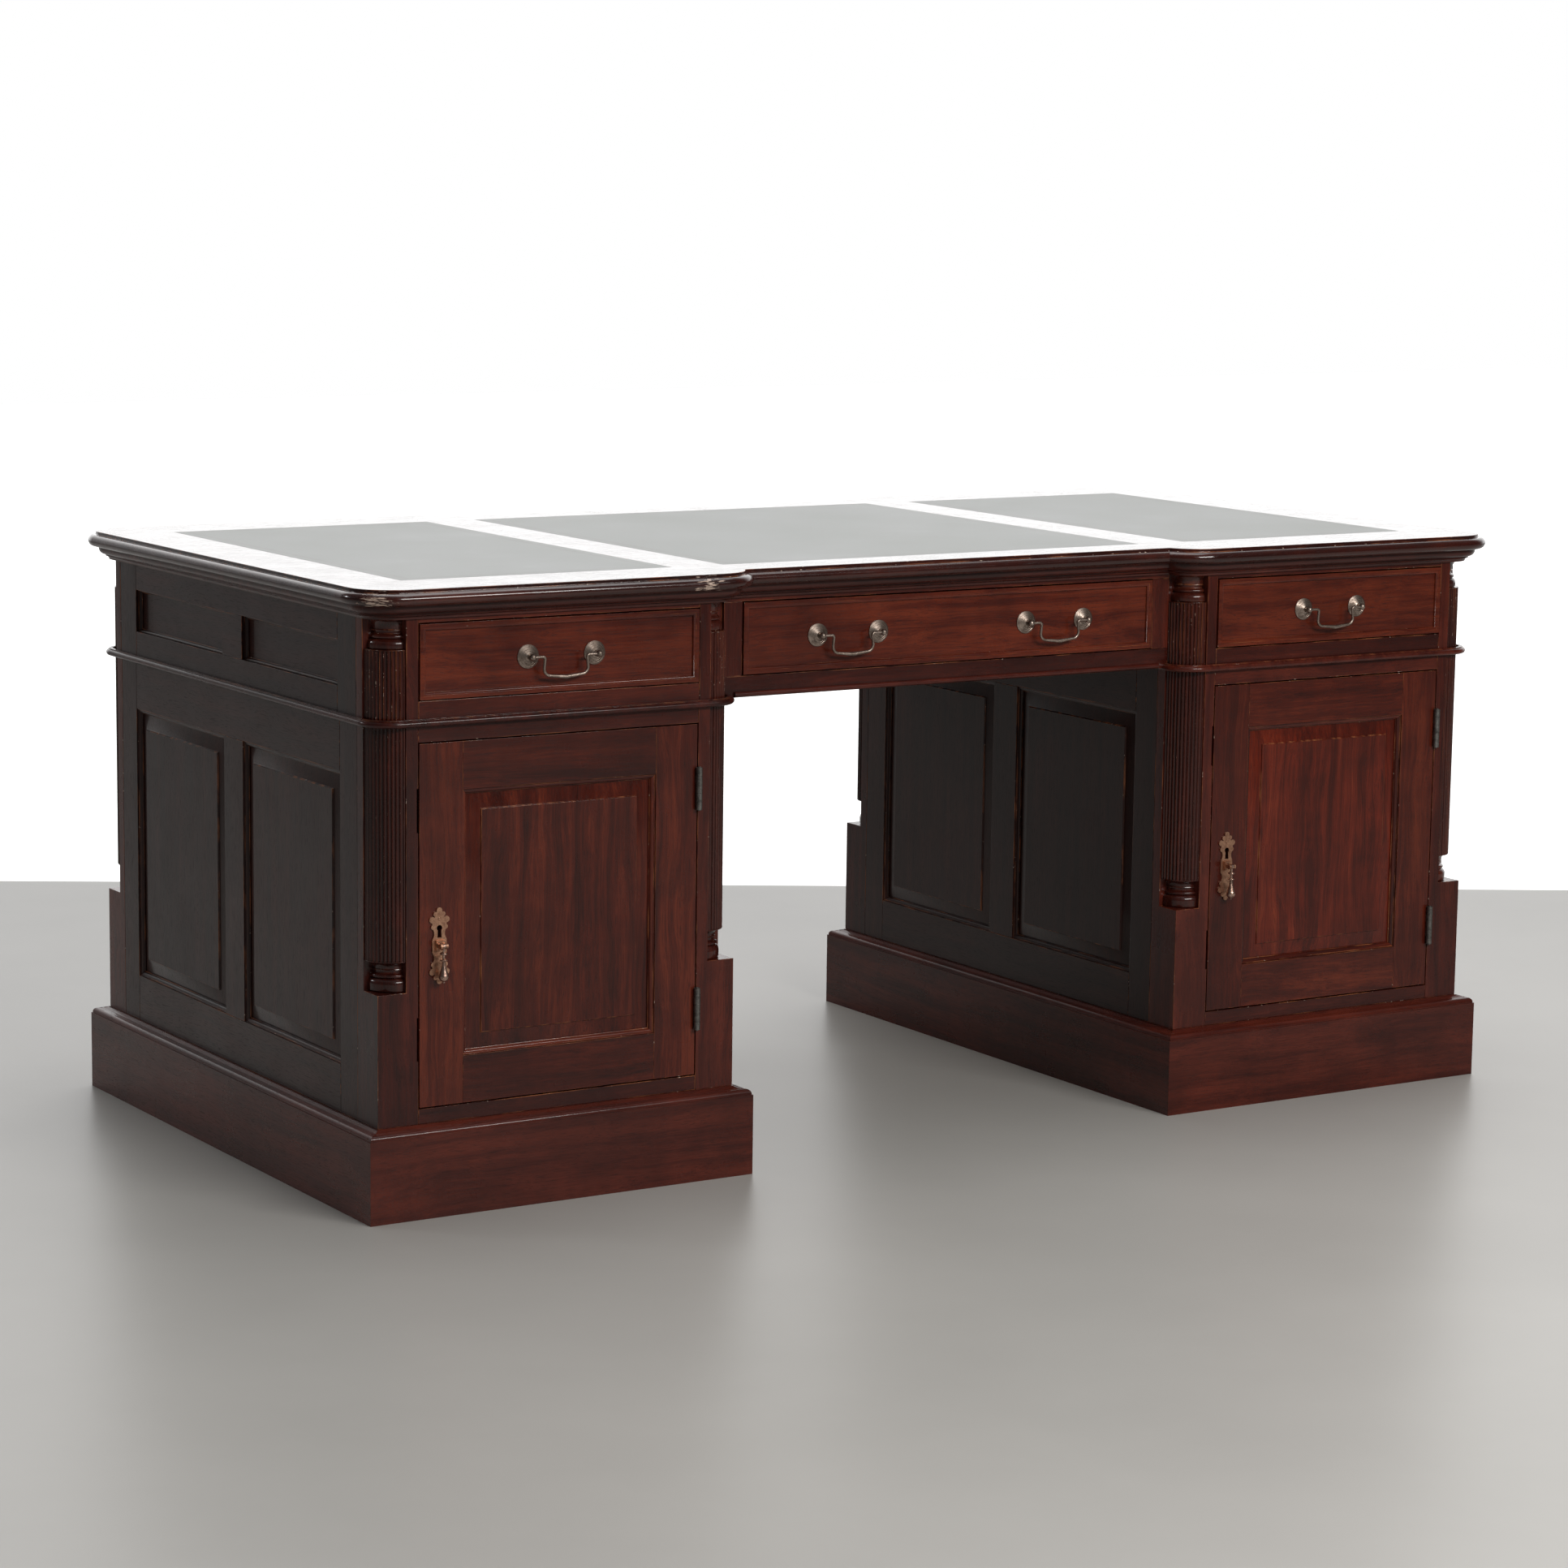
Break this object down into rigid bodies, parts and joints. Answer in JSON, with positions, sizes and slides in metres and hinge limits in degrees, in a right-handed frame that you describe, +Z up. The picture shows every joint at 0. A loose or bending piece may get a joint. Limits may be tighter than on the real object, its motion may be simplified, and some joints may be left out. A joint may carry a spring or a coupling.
{
  "type": "pedestal writing desk",
  "caption": "Leather-topped kneehole desk: a moulded top with frieze drawers on two cupboard pedestals with fluted corner columns, panelled doors and moulded plinths.",
  "frame": {"origin": "on the floor, under the middle of the desk", "axes": "+X to the right as seen by the person sitting at the front, +Y towards the back, +Z up"},
  "size_m": [1.775, 0.895, 0.775],
  "materials": {
    "mahogany": "satin French-polished mahogany",
    "drawer_wood": "plain planed oak",
    "leather": "worn dark green desk leather",
    "aged_brass": "dull aged brass",
    "coppery_brass": "coppery aged brass",
    "iron": "dull grey metal"
  },
  "bodies": {
    "desk": {"top_board": "mahogany", "leather_left": "leather", "leather_centre": "leather", "leather_right": "leather", "cornice": "mahogany", "frieze_corner_posts": "mahogany", "frieze_columns": "mahogany", "frieze_front_rails": "mahogany", "frieze_end_frames": "mahogany", "frieze_end_panels": "mahogany", "frieze_back_frames": "mahogany", "frieze_back_panels": "mahogany", "frieze_partitions": "mahogany", "drawer_runners": "drawer_wood", "dust_boards": "drawer_wood", "waist_beads": "mahogany", "centre_rail_beads": "mahogany", "left_plinth": "mahogany", "right_plinth": "mahogany", "left_corner_posts": "mahogany", "right_corner_posts": "mahogany", "left_columns": "mahogany", "right_columns": "mahogany", "left_side_frames": "mahogany", "right_side_frames": "mahogany", "left_side_panels": "mahogany", "right_side_panels": "mahogany", "panel_mouldings": "mahogany", "pedestal_front_rails": "mahogany", "pedestal_back_frames": "mahogany", "pedestal_back_panels": "mahogany", "cabinet_floors": "drawer_wood", "cabinet_tops": "drawer_wood", "cabinet_shelves": "drawer_wood", "hinge_frame_leaves": "iron", "strike_plates": "iron"},
    "left_door": {"left_door_frame": "mahogany", "left_door_panel": "mahogany", "left_hinge_door_leaves": "iron", "left_escutcheon": "coppery_brass", "left_lock": "iron"},
    "right_door": {"right_door_frame": "mahogany", "right_door_panel": "mahogany", "right_hinge_door_leaves": "iron", "right_escutcheon": "coppery_brass", "right_lock": "iron"},
    "left_drawer": {"left_drawer_front": "mahogany", "left_drawer_box": "drawer_wood"},
    "centre_drawer": {"centre_drawer_front": "mahogany", "centre_drawer_box": "drawer_wood"},
    "right_drawer": {"right_drawer_front": "mahogany", "right_drawer_box": "drawer_wood"},
    "left_drop_pull_piece": {"left_drop_pull": "coppery_brass"},
    "right_drop_pull_piece": {"right_drop_pull": "coppery_brass"},
    "left_lock_bolt_piece": {"left_lock_bolt": "aged_brass"},
    "right_lock_bolt_piece": {"right_lock_bolt": "aged_brass"},
    "left_drawer_bail_piece": {"left_drawer_bail": "aged_brass"},
    "centre_drawer_left_bail_piece": {"centre_drawer_left_bail": "aged_brass"},
    "centre_drawer_right_bail_piece": {"centre_drawer_right_bail": "aged_brass"},
    "right_drawer_bail_piece": {"right_drawer_bail": "aged_brass"}
  },
  "joints": [
    {"name": "left_door_hinge", "type": "hinge", "parent": "desk", "child": "left_door", "pos_m": [-0.40775, -0.4194, 0.36], "axis": [0, 0, 1], "range_deg": [0, 110]},
    {"name": "left_drop_pull_swing", "type": "hinge", "parent": "left_door", "child": "left_drop_pull_piece", "pos_m": [-0.772, -0.428, 0.336], "axis": [-1, 0, 0], "range_deg": [0, 80]},
    {"name": "left_lock_bolt_slide", "type": "slide", "parent": "left_door", "child": "left_lock_bolt_piece", "axis": [-1, 0, 0], "range_m": [0, 0.007]},
    {"name": "right_door_hinge", "type": "hinge", "parent": "desk", "child": "right_door", "pos_m": [0.79925, -0.4194, 0.36], "axis": [0, 0, 1], "range_deg": [0, 110]},
    {"name": "right_drop_pull_swing", "type": "hinge", "parent": "right_door", "child": "right_drop_pull_piece", "pos_m": [0.435, -0.428, 0.336], "axis": [-1, 0, 0], "range_deg": [0, 80]},
    {"name": "right_lock_bolt_slide", "type": "slide", "parent": "right_door", "child": "right_lock_bolt_piece", "axis": [-1, 0, 0], "range_m": [0, 0.007]},
    {"name": "left_drawer_slide", "type": "slide", "parent": "desk", "child": "left_drawer", "axis": [0, -1, 0], "range_m": [0, 0.4]},
    {"name": "centre_drawer_slide", "type": "slide", "parent": "desk", "child": "centre_drawer", "axis": [0, -1, 0], "range_m": [0, 0.4]},
    {"name": "right_drawer_slide", "type": "slide", "parent": "desk", "child": "right_drawer", "axis": [0, -1, 0], "range_m": [0, 0.4]},
    {"name": "left_drawer_bail_swing", "type": "hinge", "parent": "left_drawer", "child": "left_drawer_bail_piece", "pos_m": [-0.6035, -0.427, 0.683], "axis": [-1, 0, 0], "range_deg": [0, 90]},
    {"name": "centre_drawer_left_bail_swing", "type": "hinge", "parent": "centre_drawer", "child": "centre_drawer_left_bail_piece", "pos_m": [-0.163, -0.392, 0.683], "axis": [-1, 0, 0], "range_deg": [0, 90]},
    {"name": "centre_drawer_right_bail_swing", "type": "hinge", "parent": "centre_drawer", "child": "centre_drawer_right_bail_piece", "pos_m": [0.163, -0.392, 0.683], "axis": [-1, 0, 0], "range_deg": [0, 90]},
    {"name": "right_drawer_bail_swing", "type": "hinge", "parent": "right_drawer", "child": "right_drawer_bail_piece", "pos_m": [0.6035, -0.427, 0.683], "axis": [-1, 0, 0], "range_deg": [0, 90]}
  ]
}
